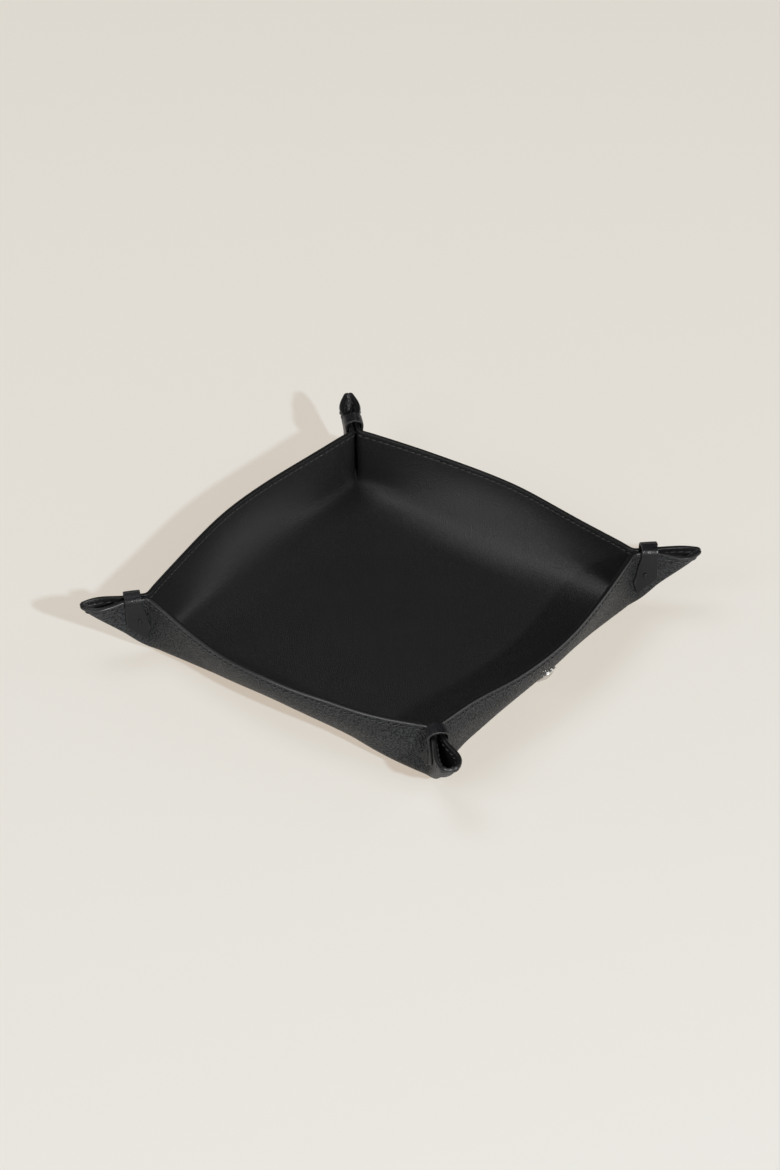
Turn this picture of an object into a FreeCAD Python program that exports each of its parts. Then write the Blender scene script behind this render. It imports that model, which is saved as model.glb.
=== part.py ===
import FreeCAD, Part
import math
import os

# Flat sheet and the way it is folded, in millimetres and degrees
SHEET_HALF = 120.0          # half side of the square sheet laid flat
CORNER_RADIUS = 3.0         # rounding of the sheet's corners
WALL_RUN = 54.6             # from the rim in to where a wall starts to curve up
BEND_RADIUS = 37.5          # radius of a wall's curve, half way along a side
CREASE_RUN = 34.4           # from the rim in to where the corner starts to rise
CREASE_WIDTH = 4.0          # softness of that start
EAR_LENGTH = 34.0           # rim length taken up by each side of an ear
EAR_SLOPE = 3.7             # fall of an ear's rim towards its tip
EAR_HALF_GAP = 2.0          # glue face to the middle plane of an ear
EAR_GROWTH = 4.0            # length over which an ear grows out of the corner
PINCH_WIDTH = 2.0           # softness of the turn from wall to ear
BOW_ROUNDNESS = 0.45        # roundness of the bowed and sagging rim
BASE_MARGIN = 68.0          # from the rim in to the flat disc in the middle of the base
FLAT_MARGIN = 66.0          # from the rim in to the end of all that stays quite flat
BEND_START = SHEET_HALF - WALL_RUN
CREASE_START = SHEET_HALF - CREASE_RUN
BASE_RADIUS = SHEET_HALF - BASE_MARGIN
FLAT_HALF = SHEET_HALF - FLAT_MARGIN

# Corners in order round the tray, with the shape of each ear
CORNERS = ["back_right", "back_left", "front_left", "front_right"]
MOUTH_BULGE = [2.2, 2.9, 3.2, 3.2]      # bulge of the open end on the tongue's side
BACK_BULGE = [2.2, 2.9, 3.2, 0.5]       # and on the rivet's side
MOUTH_PEAK = [0.55, 0.40, 0.36, 0.42]   # where along the open end it bulges most
TIP_REACH = [1.0, 1.7, 0.2, 2.0]        # stretch of the tip outwards
TIP_LIFT = [2.6, 0.0, 0.0, 0.3]         # how far the tip is bent up
TIP_CURL = [1.8, 0.2, 0.0, 0.9]         # how far it is bent sideways
TIP_CURL_POWER = 1.6                    # how far out the sideways bend starts
EAR_SWING = [1.0, 0.0, 6.2, 0.0]        # turn of the whole ear to one side
CREASE_BELLY = [0.5, 1.0, 4.0, 1.0]     # how far the foot of the crease bulges outwards
BELLY_MARGIN = 31.0         # from the rim in to where it bulges most
BELLY_WIDTH = 9.0           # how far in and out of there it bulges
SWING_REACH = 54.6          # from the tip in to the upright line it turns about
SWING_END = 65.6            # from the tip in to where the sheet does not turn with it
SWING_START = 39.6          # from the tip in to where it all turns with it

# Sides in order round the tray, with the sag of each rim
RIM_DROP = [2.8, 2.4, 2.4, 0.0]         # half way along
SAG_AHEAD = [0.0, 0.6, 0.0, 0.0]        # extra, between there and the corner of the same number
SAG_BEHIND = [1.2, 0.0, 2.6, 0.0]       # extra, between there and the corner before it

# Plies, measured outwards from the glue face
LEATHER = 1.2               # outer ply
LINING = 1.1                # inner ply
GLUE = 0.2                  # glue line between them
LEATHER_IN = GLUE / 2
LEATHER_OUT = LEATHER_IN + LEATHER
LINING_OUT = -GLUE / 2
LINING_IN = LINING_OUT - LINING

# Samples that shape the surfaces of the sheet
FOLD_SAMPLES = 4            # round the fold at the crease
EAR_SAMPLES = 9             # along an ear
PINCH_SAMPLES = 10          # round the pinch
WALL_SAMPLES = 7            # from the pinch to half way along a side
LEVEL_SAMPLES = 24          # from base to rim
PINCH_REACH = 4.0           # reach of the pinch to each side, in pinch widths
NORMAL_STEP = 0.5           # step used to find which way the sheet faces
DEGREE = 3

# Keeper strap, in the ear's own frame: along the rim from the tip, across the ear, up
STRAP = 1.2                 # strap leather
STRAP_WIDTH = 9.2
STRAP_SETBACK = 3.3         # strap's edge to the pinch
LEG_GAP = 1.5               # ear to leg, clear of the pinch
ARCH_GAP = 1.1              # rim to the arch above it
SHOULDER_RADIUS = 3.0
FLARE_START = 4.0           # depth below the rim where the legs start to widen
FLARE_DEPTH = 16.5          # depth of the widest place
FLARE = 1.0                 # extra width there, towards the tray
FLARE_CURVE = 0.35          # share of it half way down
OUTER_EDGE_DEPTH = 12.5     # depth where the edge on the tip's side starts to slant
POINT_INSET = 1.6           # point of a leg, in from the strap's edge at the tray's side
POINT_DEPTH = 23.0
HINGE_DEPTH = 1.0           # bend of the tongue, below the rim
HINGE_GAP = 0.3
HINGE_SLANT = 42.0          # slant of the fixed half's end over the bend
LOW_PINCH = POINT_DEPTH + (CREASE_RUN - POINT_DEPTH) * EAR_LENGTH / CREASE_RUN
NECK_END = min(EAR_LENGTH, LOW_PINCH) - STRAP_SETBACK
NECK_START = NECK_END - STRAP_WIDTH
MOUTH_LENGTH = NECK_START
LEG_IN = EAR_HALF_GAP + LEATHER_OUT + LEG_GAP
LEG_OUT = LEG_IN + STRAP
LEG_MID = (LEG_IN + LEG_OUT) / 2

# Studs and rivets through the ears
PIN_INSET = 6.2             # pin from the strap's edge at the tip's side
PIN_DEPTH = 12.0
PIN_DIAMETER = 1.8
PIN_CLEARANCE = 0.3         # hole in the plies over the pin
NECK_DIAMETER = 1.4
COLLAR_DIAMETER = 4.0
COLLAR = 0.6
COLLAR_GAP = 0.6            # ear to collar
HEAD_GAP = 0.15             # strap to head
HEAD_WIDTH = 1.6
HEAD_HEIGHT = 3.0
HEAD = 0.65
HEAD_ROUND = 0.3
RIVET_GROWTH = 0.4          # rivet head over stud head
SLOT_SIDE_CLEARANCE = 0.25
SLOT_END_CLEARANCE = 0.6
WASHER_DIAMETER = 4.4
WASHER = 0.4
WASHER_CLEARANCE = 0.1
PIN_ALONG = NECK_START + PIN_INSET
EAR_FACE = EAR_HALF_GAP + LEATHER_OUT
WASHER_TOP = EAR_HALF_GAP + LINING_IN - WASHER_CLEARANCE
PIN_END = WASHER_TOP - WASHER
HEAD_START = LEG_OUT + HEAD_GAP

# Badge on the front wall
BADGE_BELOW_RIM = 19.5
BADGE_DIAMETER = 12.0
BADGE_RIM = 1.0
BADGE_STEP = 0.3            # height of the rim above the edge of the domed face
BADGE_FACE_DIAMETER = 10.2
BADGE_HEIGHT = 2.4
BADGE_ROUND = 0.3
BADGE_SEAT = 0.05           # gap to the leather
BADGE_STEM = 2.0
BADGE_STEM_CLEARANCE = 0.2

OVERRUN = 3.0               # how far a cutting shape reaches past what it cuts
UP = FreeCAD.Vector(0, 0, 1)
ROOT2 = math.sqrt(2.0)
QUARTER = math.pi / 2
SLOPE = math.radians(EAR_SLOPE)
RISE = math.radians(45.0) - SLOPE
WALL_TOP = BEND_RADIUS * (1.0 - math.cos(WALL_RUN / BEND_RADIUS))


def soft_ramp(value, width):
    """Zero well below nothing, the value itself well above, with a smooth turn between."""
    return width * math.log1p(math.exp(-abs(value) / width)) + max(value, 0.0)


def bow(t):
    """Smooth bow from 0 half way along a side to 1 at the pinch."""
    k = BOW_ROUNDNESS
    return (math.hypot(k, t) - k) / (math.hypot(k, 1.0) - k)


def crease_point(u):
    """Corner fold at one level: distance from the middle, height, and how far the level has risen."""
    none_yet = soft_ramp(FLAT_HALF - CREASE_START, CREASE_WIDTH)
    rise = max(soft_ramp(u - CREASE_START, CREASE_WIDTH) - none_yet, 0.0)
    return ROOT2 * (u - rise) + ROOT2 * rise * math.cos(RISE), ROOT2 * rise * math.sin(RISE), rise


TIP_M, TIP_Z, TIP_RISE = crease_point(SHEET_HALF)


def mouth_shape(to_tip, to_crease, corner, side):
    """Move of an ear's open end: a bulge that fades to the crease and a sideways bend, a stretch, a lift."""
    s = min(max(to_tip / MOUTH_LENGTH, 0.0), 1.0)
    bulge = MOUTH_BULGE[corner] if side > 0.0 else BACK_BULGE[corner]
    swell = 0.0
    if to_tip > 0.0:
        steepness = math.log(0.5) / math.log(MOUTH_PEAK[corner])
        swell = math.sin(math.pi * s ** steepness) ** 2 * to_crease / to_tip
    across = bulge * swell + side * TIP_CURL[corner] * (1.0 - s) ** TIP_CURL_POWER
    return across, TIP_REACH[corner] * (1.0 - s), TIP_LIFT[corner] * (1.0 - s) ** 2


def fold_octant(u, v, corner, side, drop, sag):
    """Glue face of the folded sheet at flat place (u, v), for 0 <= v <= u, with the base at height 0."""
    r = EAR_HALF_GAP
    arc = max(u - BEND_START, 0.0) / BEND_RADIUS
    x_mid = min(u, BEND_START) + BEND_RADIUS * math.sin(arc)
    z_mid = BEND_RADIUS * (1.0 - math.cos(arc))
    m_crease, z_crease, rise = crease_point(u)
    m_crease += CREASE_BELLY[corner] * math.exp(-((SHEET_HALF - BELLY_MARGIN - u) / BELLY_WIDTH) ** 2)
    ear = rise * EAR_LENGTH / CREASE_RUN
    grown = 1.0 - math.exp(-ear / EAR_GROWTH)
    along = grown * soft_ramp(v - u + ear, PINCH_WIDTH)
    along_all = grown * soft_ramp(ear, PINCH_WIDTH)
    turn = min((u - v) / r, QUARTER)
    fold_along = grown * (r * (turn - QUARTER) + r * math.cos(turn))
    mouth_across, mouth_run, lift = mouth_shape(SHEET_HALF - v, u - v, corner, side)
    across = grown * r * (math.sin(turn) - 1.0) + mouth_across
    ear_run = along_all - grown * r * (QUARTER - 1.0)
    m_pinch = m_crease - ear_run * math.cos(SLOPE)
    z_pinch = z_crease + ear_run * math.sin(SLOPE)
    x_pinch = (m_pinch + r * grown) / ROOT2
    y_pinch = (m_pinch - r * grown) / ROOT2
    t = (v - along) / (u - along_all)
    run = along + fold_along + mouth_run
    x = x_mid + (x_pinch - x_mid) * bow(t) + (run * math.cos(SLOPE) + across) / ROOT2
    y = y_pinch * t + (run * math.cos(SLOPE) - across) / ROOT2
    z = z_mid + (z_pinch - z_mid) * bow(t) - run * math.sin(SLOPE) + lift
    z -= z_mid / WALL_TOP * (drop * (1.0 - bow(t)) + sag * (4.0 * t * (1.0 - t)) ** 2)
    return x, y, z


def swung(x, y, half, corner):
    """Place in plan after a corner's ear has turned to one side, all of it at the ear and none at the walls."""
    inwards = TIP_M - (x + half * y) / ROOT2
    share = min(max((SWING_END - inwards) / (SWING_END - SWING_START), 0.0), 1.0)
    angle = math.radians(EAR_SWING[corner]) * share * share * (3.0 - 2.0 * share)
    pivot_x = (TIP_M - SWING_REACH) / ROOT2
    pivot_y = half * pivot_x
    dx, dy = x - pivot_x, y - pivot_y
    return (pivot_x + dx * math.cos(angle) - dy * math.sin(angle),
            pivot_y + dx * math.sin(angle) + dy * math.cos(angle))


def fold(u, v, side):
    """Glue face at flat place (u, v) of one side, turned so that the side faces +X."""
    corner = side if v > 0.0 else (side - 1) % 4
    half = 1.0 if v > 0.0 else -1.0
    width = abs(v)
    sag = SAG_AHEAD[side] if v > 0.0 else SAG_BEHIND[side]
    if width > u:
        y, x, z = fold_octant(width, u, corner, -half, RIM_DROP[side], sag)
    else:
        x, y, z = fold_octant(u, width, corner, half, RIM_DROP[side], sag)
    x, y = swung(x, half * y, half, corner)
    return FreeCAD.Vector(x, y, z)


def ply_point(u, v, side, offset):
    """Point at a distance outwards from the glue face, with the tray standing on height 0."""
    along_u = fold(u + NORMAL_STEP, v, side) - fold(u - NORMAL_STEP, v, side)
    along_v = fold(u, v + NORMAL_STEP, side) - fold(u, v - NORMAL_STEP, side)
    normal = along_v.cross(along_u).normalize()
    return fold(u, v, side) + normal * offset + FreeCAD.Vector(0, 0, LEATHER_OUT)


def rim_level(ratio):
    """Level of the sheet's edge on the ray v = ratio * u, with the corners rounded."""
    centre = SHEET_HALF - CORNER_RADIUS
    if SHEET_HALF * ratio <= centre:
        return SHEET_HALF
    a = 1.0 + ratio * ratio
    b = centre * (1.0 + ratio)
    return (b + math.sqrt(b * b - a * (2.0 * centre * centre - CORNER_RADIUS ** 2))) / a


def spaced(start, end, count):
    """Evenly spaced values from start up to, and without, end."""
    return [start + (end - start) * i / count for i in range(count)]


def crease_steps():
    """Distances from the crease along the rim: close in the fold and the pinch, wider along the wall."""
    fold_end = QUARTER * EAR_HALF_GAP
    pinch_start = EAR_LENGTH - PINCH_REACH * PINCH_WIDTH
    pinch_end = EAR_LENGTH + PINCH_REACH * PINCH_WIDTH
    return (spaced(0.0, fold_end, FOLD_SAMPLES) + spaced(fold_end, pinch_start, EAR_SAMPLES)
            + spaced(pinch_start, pinch_end, PINCH_SAMPLES) + spaced(pinch_end, SHEET_HALF, WALL_SAMPLES))


def quarter_turned(shape, quarters):
    """Copy of a shape turned about the upright axis by quarter turns."""
    turned = shape.copy()
    turned.rotate(FreeCAD.Vector(0, 0, 0), FreeCAD.Vector(0, 0, 1), 90 * quarters)
    return turned


def sheet_columns():
    """Rays across the flat sheet, as side and slope, once round from the middle of the first side."""
    half = [1.0 - step / SHEET_HALF for step in crease_steps()]
    rising = [0.0] + half[:0:-1]
    falling = [-ratio for ratio in half]
    columns = []
    for side in range(4):
        columns += [(side, ratio) for ratio in rising]
        columns += [((side + 1) % 4, ratio) for ratio in falling]
    return columns + columns[:1]


def even_cubic(count):
    """Multiplicities and knots of a smooth cubic with this many poles."""
    inner = count - DEGREE - 1
    ends = [DEGREE + 1]
    return ends + [1] * inner + ends, [float(knot) for knot in range(inner + 2)]


def sheet_surface(offset):
    """Smooth surface at one offset over all four sides, from a circle on the flat base out to the rim."""
    turns = [FreeCAD.Rotation(UP, 90 * side) for side in range(4)]
    rows = []
    for part in spaced(0.0, 1.0, LEVEL_SAMPLES) + [1.0]:
        row = []
        for side, ratio in sheet_columns():
            inside = BASE_RADIUS / math.hypot(1.0, ratio)
            u = inside + part * (rim_level(abs(ratio)) - inside)
            row.append(turns[side].multVec(ply_point(u, ratio * u, side, offset)))
        rows.append(row)
    level_mults, level_knots = even_cubic(len(rows))
    round_mults, round_knots = even_cubic(len(rows[0]))
    surface = Part.BSplineSurface()
    surface.buildFromPolesMultsKnots(
        rows, level_mults, round_mults, level_knots, round_knots, False, False, DEGREE, DEGREE)
    return surface


def ply(outer_offset, inner_offset):
    """One ply of the sheet as a solid between two offsets, each face of it in four quarters."""
    faces = []
    rims = []
    for offset in (outer_offset, inner_offset):
        surface = sheet_surface(offset)
        low, high, first, last = surface.bounds()
        cuts = [first + (last - first) * quarter / 4 for quarter in range(5)]
        quarters = list(zip(cuts[:-1], cuts[1:]))
        faces += [surface.toShape(low, high, begin, finish) for begin, finish in quarters]
        base_edges = [surface.uIso(low).toShape(begin, finish) for begin, finish in quarters]
        faces.append(Part.Face(Part.Wire(base_edges)))
        rims.append([surface.uIso(high).toShape(begin, finish) for begin, finish in quarters])
    faces += [Part.makeRuledSurface(outer, inner) for outer, inner in zip(rims[0], rims[1])]
    skin = Part.makeCompound(faces)
    skin.sewShape()
    solid = Part.makeSolid(skin.Shells[0])
    if solid.Volume < 0:
        solid.reverse()
    return solid


# Ear frame of the corner between +X and +Y, turned to the other corners later
DIAGONAL = FreeCAD.Vector(1, 1, 0).normalize()
EAR_IN = DIAGONAL * -math.cos(SLOPE) + UP * math.sin(SLOPE)
EAR_UP = DIAGONAL * math.sin(SLOPE) + UP * math.cos(SLOPE)
EAR_ACROSS = EAR_UP.cross(EAR_IN)
EAR_TIP = DIAGONAL * TIP_M + UP * (TIP_Z + LEATHER_OUT)
EAR_FRAME = FreeCAD.Placement(EAR_TIP, FreeCAD.Rotation(EAR_IN, EAR_ACROSS, EAR_UP, "XYZ"))


def at_corner(shape, quarters):
    """Copy of a shape made in the ear's frame, moved to one corner."""
    moved = shape.copy()
    moved.Placement = EAR_FRAME.multiply(moved.Placement)
    moved.rotate(DIAGONAL * (TIP_M - SWING_REACH), UP, EAR_SWING[quarters])
    return quarter_turned(moved, quarters)


def half_arch(half, top, radius, side):
    """Foot, both ends and middle of the shoulder on one side of an arch, seen along the rim."""
    bend = radius * (1.0 - 1.0 / ROOT2)
    places = [(half, -POINT_DEPTH - OVERRUN), (half, top - radius), (half - bend, top - bend),
              (half - radius, top)]
    return [FreeCAD.Vector(0, side * y, z) for y, z in places]


def strap_section():
    """Arch with two legs, seen along the rim, as a face across the ear."""
    edges = []
    feet = []
    inner_radius = SHOULDER_RADIUS - STRAP
    for half, top, radius in ((LEG_OUT, ARCH_GAP + STRAP, SHOULDER_RADIUS), (LEG_IN, ARCH_GAP, inner_radius)):
        sides = [half_arch(half, top, radius, side) for side in (1, -1)]
        for foot, low, middle, high in sides:
            edges += [Part.makeLine(foot, low), Part.Arc(low, middle, high).toShape()]
        edges.append(Part.makeLine(sides[0][3], sides[1][3]))
        feet.append([sides[0][0], sides[1][0]])
    edges += [Part.makeLine(outer, inner) for outer, inner in zip(feet[0], feet[1])]
    return Part.Face(Part.Wire(Part.__sortEdges__(edges)))


def strap_outline():
    """Outline of a leg seen across the ear: neck, flare on the tray side and a slanted point."""
    def at(along, depth):
        return FreeCAD.Vector(along, 0, -depth)

    above = -(ARCH_GAP + STRAP + OVERRUN)
    flare = at(NECK_END + FLARE, FLARE_DEPTH)
    between = at(NECK_END + FLARE * FLARE_CURVE, (FLARE_START + FLARE_DEPTH) / 2)
    outer = at(NECK_START, OUTER_EDGE_DEPTH)
    point = at(NECK_END - POINT_INSET, POINT_DEPTH)
    widening = Part.BSplineCurve()
    widening.interpolate([at(NECK_END, FLARE_START), between, flare])
    edges = [
        Part.makeLine(at(NECK_START, above), at(NECK_END, above)),
        Part.makeLine(at(NECK_END, above), at(NECK_END, FLARE_START)),
        widening.toShape(),
        Part.makeLine(flare, point),
        Part.makeLine(point, outer),
        Part.makeLine(outer, at(NECK_START, above)),
    ]
    return Part.Face(Part.Wire(Part.__sortEdges__(edges)))


def oblong(width, height, thickness):
    """Upright oblong bar, thickness along +Y from 0, centred on the pin."""
    radius = width / 2
    straight = (height - width) / 2
    post = Part.makeBox(width, thickness, 2 * straight, FreeCAD.Vector(-radius, 0, -straight))
    ends = [
        Part.makeCylinder(radius, thickness, FreeCAD.Vector(0, 0, z), FreeCAD.Vector(0, 1, 0))
        for z in (-straight, straight)
    ]
    return post.fuse(ends).removeSplitter()


def rod(diameter, start, end):
    """Round rod along the pin's axis."""
    return Part.makeCylinder(diameter / 2, end - start, FreeCAD.Vector(0, start, 0), FreeCAD.Vector(0, 1, 0))


def at_pin(shape, other_side=False):
    """Shape made about the pin's own axis, moved to the pin's place on one side of the ear or the other."""
    moved = shape.copy()
    if other_side:
        moved.rotate(FreeCAD.Vector(0, 0, 0), FreeCAD.Vector(0, 0, 1), 180)
    moved.translate(FreeCAD.Vector(PIN_ALONG, 0, -PIN_DEPTH))
    return moved


def pin(neck, head_width, head_height):
    """Pin through one side of an ear: shank, collar on the ear, neck through the strap and oblong head."""
    head = oblong(head_width, head_height, HEAD)
    top = [edge for edge in head.Edges if abs(edge.CenterOfMass.y - HEAD) < 1e-6]
    head = head.makeFillet(HEAD_ROUND, top)
    head.translate(FreeCAD.Vector(0, HEAD_START, 0))
    collar_start = EAR_FACE + COLLAR_GAP
    shank = rod(PIN_DIAMETER, PIN_END, collar_start)
    collar = rod(COLLAR_DIAMETER, collar_start, collar_start + COLLAR)
    shaft = rod(neck, collar_start, HEAD_START)
    return shank.fuse([collar, shaft, head]).removeSplitter()


def washer():
    """Thin washer inside the ear on a pin's end."""
    hole = PIN_DIAMETER + WASHER_CLEARANCE
    return rod(WASHER_DIAMETER, PIN_END, WASHER_TOP).cut(rod(hole, PIN_END, WASHER_TOP))


def strap_and_tongue():
    """Fixed half and free half of one keeper strap in the ear's frame."""
    start = NECK_START - OVERRUN
    length = NECK_END + FLARE + OVERRUN - start
    bent = strap_section().extrude(FreeCAD.Vector(length, 0, 0))
    bent.translate(FreeCAD.Vector(start, 0, 0))
    flat = strap_outline()
    flat.translate(FreeCAD.Vector(0, -LEG_OUT - OVERRUN, 0))
    whole = bent.common(flat.extrude(FreeCAD.Vector(0, 2 * (LEG_OUT + OVERRUN), 0)))

    # The free half hangs from a rounded bend, the fixed half ends above it in a slant that lets it swing up
    round_end = Part.makeCylinder(
        STRAP / 2, length, FreeCAD.Vector(start, LEG_MID, -HINGE_DEPTH), FreeCAD.Vector(1, 0, 0))
    reach = POINT_DEPTH + OVERRUN
    under = FreeCAD.Vector(start, LEG_MID - STRAP, -HINGE_DEPTH - reach)
    below = Part.makeBox(length, 2 * STRAP, reach, under)
    tongue = whole.common(below.fuse(round_end)).removeSplitter()
    inside = LEG_MID - STRAP
    outside = LEG_MID + STRAP
    low = STRAP / 2 + HINGE_GAP - HINGE_DEPTH
    high = low + (outside - inside) * math.tan(math.radians(HINGE_SLANT))
    slant = [(inside, low), (outside, high), (outside, -2 * reach), (inside, -2 * reach), (inside, low)]
    wedge = Part.Face(Part.makePolygon([FreeCAD.Vector(start, y, z) for y, z in slant]))
    strap = whole.cut(wedge.extrude(FreeCAD.Vector(length, 0, 0)))

    slot = oblong(HEAD_WIDTH + 2 * SLOT_SIDE_CLEARANCE, HEAD_HEIGHT + 2 * SLOT_END_CLEARANCE, 3 * STRAP)
    slot.translate(FreeCAD.Vector(0, LEG_IN - STRAP, 0))
    hole = rod(PIN_DIAMETER + WASHER_CLEARANCE, LEG_IN - STRAP, LEG_OUT + STRAP)
    return strap.cut(at_pin(hole, other_side=True)), tongue.cut(at_pin(slot))


def wall_badge():
    """Domed disc with its stem, made about +Z and laid on the front wall, and the hole for the stem."""
    wall_radius = BEND_RADIUS + LEATHER_OUT
    disc = Part.makeCylinder(BADGE_DIAMETER / 2, BADGE_RIM)
    disc = disc.makeFillet(BADGE_ROUND, [disc.Edges[0]])
    face_radius = BADGE_FACE_DIAMETER / 2
    face_height = BADGE_RIM - BADGE_STEP
    dome_height = BADGE_HEIGHT - face_height
    dome_radius = (face_radius ** 2 + dome_height ** 2) / (2 * dome_height)
    dome = Part.makeSphere(dome_radius, FreeCAD.Vector(0, 0, BADGE_HEIGHT - dome_radius))
    dome = dome.common(Part.makeCylinder(face_radius, BADGE_HEIGHT, FreeCAD.Vector(0, 0, face_height)))
    disc = disc.cut(Part.makeCylinder(face_radius, BADGE_RIM, FreeCAD.Vector(0, 0, face_height)))
    back = Part.makeCylinder(
        BADGE_DIAMETER / 2 - BADGE_ROUND, BADGE_HEIGHT, FreeCAD.Vector(0, 0, -BADGE_HEIGHT))
    seat = Part.makeCylinder(
        wall_radius + BADGE_SEAT, 2 * BADGE_DIAMETER, FreeCAD.Vector(-BADGE_DIAMETER, 0, -wall_radius),
        FreeCAD.Vector(1, 0, 0))
    stem = Part.makeCylinder(BADGE_STEM / 2, LEATHER, FreeCAD.Vector(0, 0, BADGE_SEAT - LEATHER))
    body = disc.fuse([dome, back]).cut(seat).fuse(stem).removeSplitter()
    hole = Part.makeCylinder(
        BADGE_STEM / 2 + BADGE_STEM_CLEARANCE, 4 * LEATHER, FreeCAD.Vector(0, 0, -2 * LEATHER))
    arc = (WALL_RUN - BADGE_BELOW_RIM) / BEND_RADIUS
    out = FreeCAD.Vector(0, -math.sin(arc), -math.cos(arc))
    across = FreeCAD.Vector(1, 0, 0)
    centre = FreeCAD.Vector(0, -BEND_START, wall_radius) + out * wall_radius
    place = FreeCAD.Placement(centre, FreeCAD.Rotation(across, out.cross(across), out, "XYZ"))
    for shape in (body, hole):
        shape.Placement = place.multiply(shape.Placement)
    return body, hole


# Build every piece and write it out
stud = at_pin(pin(NECK_DIAMETER, HEAD_WIDTH, HEAD_HEIGHT))
rivet = at_pin(pin(PIN_DIAMETER, HEAD_WIDTH + RIVET_GROWTH, HEAD_HEIGHT + RIVET_GROWTH), other_side=True)
washers = [at_pin(washer()), at_pin(washer(), other_side=True)]
pin_hole = at_pin(rod(PIN_DIAMETER + PIN_CLEARANCE, -EAR_FACE - OVERRUN, EAR_FACE + OVERRUN))
holes = [at_corner(pin_hole, quarters) for quarters in range(4)]
badge, badge_hole = wall_badge()
strap, tongue = strap_and_tongue()

nodes = {}
nodes["outer_leather"] = ply(LEATHER_OUT, LEATHER_IN).cut(holes + [badge_hole])
nodes["lining"] = ply(LINING_OUT, LINING_IN).cut(holes)
for quarters, corner in enumerate(CORNERS):
    nodes[corner + "_strap"] = at_corner(strap, quarters)
    nodes[corner + "_tongue"] = at_corner(tongue, quarters)
nodes["strap_studs"] = Part.makeCompound([at_corner(stud, quarters) for quarters in range(4)])
nodes["strap_rivets"] = Part.makeCompound([at_corner(rivet, quarters) for quarters in range(4)])
nodes["backing_washers"] = Part.makeCompound(
    [at_corner(ring, quarters) for quarters in range(4) for ring in washers])
nodes["badge"] = badge

os.makedirs("parts", exist_ok=True)
for name, shape in nodes.items():
    shape.exportStep("parts/" + name + ".step")
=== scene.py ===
import math

import bpy
import numpy as np
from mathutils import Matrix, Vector


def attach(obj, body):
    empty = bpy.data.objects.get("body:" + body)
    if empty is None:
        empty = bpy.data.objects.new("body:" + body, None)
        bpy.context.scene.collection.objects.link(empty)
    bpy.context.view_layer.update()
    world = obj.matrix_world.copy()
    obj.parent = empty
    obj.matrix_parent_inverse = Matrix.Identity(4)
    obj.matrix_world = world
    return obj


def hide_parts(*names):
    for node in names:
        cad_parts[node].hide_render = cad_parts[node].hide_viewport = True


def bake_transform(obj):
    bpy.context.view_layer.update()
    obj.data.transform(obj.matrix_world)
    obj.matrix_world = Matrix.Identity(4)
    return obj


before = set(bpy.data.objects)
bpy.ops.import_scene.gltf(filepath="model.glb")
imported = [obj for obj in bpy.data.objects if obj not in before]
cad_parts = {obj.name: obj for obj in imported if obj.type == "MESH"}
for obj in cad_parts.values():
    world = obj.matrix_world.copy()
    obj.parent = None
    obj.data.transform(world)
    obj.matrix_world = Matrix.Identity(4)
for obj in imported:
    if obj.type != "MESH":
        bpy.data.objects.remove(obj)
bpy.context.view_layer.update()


# Outer leather: one square of fine pebbled hide, 1.2 mm thick, grain side out.
# It is the base, the four walls and the four ears in one piece: the corners are
# gathered into ears that point outwards, and the walls curve up between them.
SHEET_HALF = 0.120
CORNER_RADIUS = 0.003
WALL_RUN = 0.0546
BEND_RADIUS = 0.0375
CREASE_RUN = 0.0344
CREASE_WIDTH = 0.0026
EAR_LENGTH = 0.0340
EAR_SLOPE = math.radians(3.7)
EAR_HALF_GAP = 0.0020
EAR_GROWTH = 0.004
PINCH_WIDTH = 0.0020
PINCH_SQUEEZE = 0.00115
SQUEEZE_WIDTH = 0.0045
BOW_ROUNDNESS = 0.45
BASE_RADIUS = 0.052
FLAT_HALF = 0.054
# Values for each corner, in the order back right, back left, front left, front right.
# A pair of rows is for the ear's two sides: the tongue's first, then the rivet's.
MOUTH_LENGTH = np.array([0.0215, 0.0215, 0.0240, 0.0215])
MOUTH_BULGE = np.array([[0.0026, 0.0020, 0.0018, 0.0050], [0.0024, 0.0039, 0.0036, 0.0006]])
MOUTH_PEAK = np.array([0.55, 0.44, 0.38, 0.44])
MOUTH_POWER = np.array([1.0, 1.4, 2.0, 1.5])
EAR_OPENING = np.array([[0.0, 0.0, 0.0018, 0.0], [0.0, 0.0, 0.0006, 0.0]])
NOSE_PINCH = np.array([0.0010, 0.0010, 0.0, 0.0010])
NOSE_LENGTH = 0.006
NOSE_SKIVE = np.array([0.40, 0.40, 0.10, 0.35])
TIP_REACH = np.array([0.0018, 0.0026, 0.0002, 0.0031])
TIP_LIFT = np.array([0.0030, 0.0, 0.0, 0.0003])
TIP_CURL = np.array([0.0018, 0.0002, 0.0, 0.0009])
TIP_CURL_POWER = 1.6
EAR_SWING = np.radians([1.0, 0.0, 6.2, 0.0])
SWING_REACH = 0.0546
SWING_END = 0.0656
SWING_START = 0.0396
CREASE_BELLY = np.array([0.0005, 0.0011, 0.0030, 0.0024])
BELLY_MARGIN = 0.031
BELLY_WIDTH = 0.0105
CREASE_FILL = np.array([0.0, 0.0, 0.0026, 0.0006])
FILL_MARGIN = 0.0125
FILL_WIDTH = 0.008
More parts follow.
